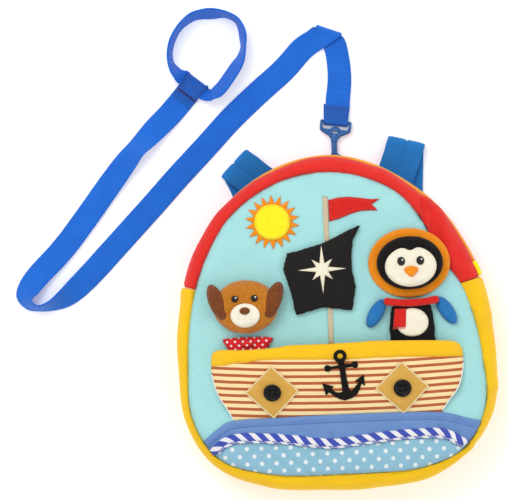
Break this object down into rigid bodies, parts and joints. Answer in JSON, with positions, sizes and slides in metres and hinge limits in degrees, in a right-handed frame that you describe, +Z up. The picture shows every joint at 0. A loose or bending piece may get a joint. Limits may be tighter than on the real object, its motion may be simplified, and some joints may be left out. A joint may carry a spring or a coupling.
{
  "type": "toddler backpack",
  "caption": "Small child's cloth backpack with a padded harbour scene and a pocket on its front, folded shoulder straps and a webbing safety leash on a snap hook, lying on its back.",
  "frame": {"origin": "middle of the bag's box, leash left out, on the surface it lies on", "axes": "+X to the right of the picture, +Y to the bag's top, +Z up out of its front, square to the surface"},
  "size_m": [0.3925, 0.4, 0.0798],
  "materials": {
    "aqua_canvas": "woven cotton canvas, matte",
    "red_cotton": "cotton, matte",
    "yellow_cotton": "cotton, matte",
    "orange_zip": "woven zip tape",
    "zip_teeth": "coil zip, satin",
    "lemon_tab": "cotton tape, matte",
    "teal_strap": "cotton, matte",
    "blue_webbing": "ribbed polyester webbing",
    "blue_plastic": "moulded plastic, satin",
    "wave_cotton": "cotton, matte",
    "striped_piping": "striped cotton binding",
    "dotted_cotton": "dotted cotton",
    "striped_hull": "striped cotton",
    "tan_felt": "felt",
    "black_felt": "felt",
    "cream_felt": "felt",
    "orange_felt": "felt",
    "yellow_felt": "felt",
    "red_felt": "felt",
    "beige_ribbon": "woven ribbon",
    "black_button": "polished plastic",
    "brown_plush": "short plush",
    "dark_plush": "short plush",
    "dotted_red": "dotted cotton"
  },
  "bodies": {
    "root": {"front_panel": "aqua_canvas", "back_panel": "yellow_cotton", "gusset_red_back": "red_cotton", "gusset_red_front": "red_cotton", "gusset_yellow": "yellow_cotton", "zip_tape": "orange_zip", "zip_teeth": "zip_teeth", "zip_slider": "orange_zip", "zip_tab_right": "lemon_tab", "zip_tab_left": "lemon_tab", "wave_back": "wave_cotton", "wave_binding": "striped_piping", "wave_front": "dotted_cotton", "boat_hem": "yellow_cotton", "boat_hull": "striped_hull", "porthole_patch_left": "tan_felt", "button_left": "black_button", "porthole_patch_right": "tan_felt", "button_right": "black_button", "anchor": "black_felt", "mast": "beige_ribbon", "pennant": "red_felt", "sail": "black_felt", "sail_emblem": "cream_felt", "sun_rays": "orange_felt", "sun_disc": "yellow_felt", "penguin_backing": "orange_felt", "penguin_head": "black_felt", "penguin_face": "cream_felt", "penguin_eye_left": "black_felt", "penguin_eye_right": "black_felt", "penguin_beak": "orange_felt", "penguin_body": "black_felt", "penguin_belly": "cream_felt", "penguin_flipper_left": "teal_strap", "penguin_flipper_right": "teal_strap", "penguin_scarf": "red_felt", "penguin_scarf_end": "red_felt", "puppy_head": "brown_plush", "puppy_ear_left": "dark_plush", "puppy_eye_left": "black_felt", "puppy_ear_right": "dark_plush", "puppy_eye_right": "black_felt", "puppy_muzzle": "cream_felt", "puppy_nose": "dark_plush", "puppy_neckerchief": "dotted_red", "puppy_knot": "dotted_red", "shoulder_strap_left": "teal_strap", "shoulder_strap_right": "teal_strap", "rein_anchor_loop": "blue_webbing", "snap_hook": "blue_plastic", "swivel_eye": "blue_plastic", "leash_webbing": "blue_webbing", "leash_hand_loop": "blue_webbing", "leash_stitch_block": "blue_webbing"}
  },
  "joints": []
}
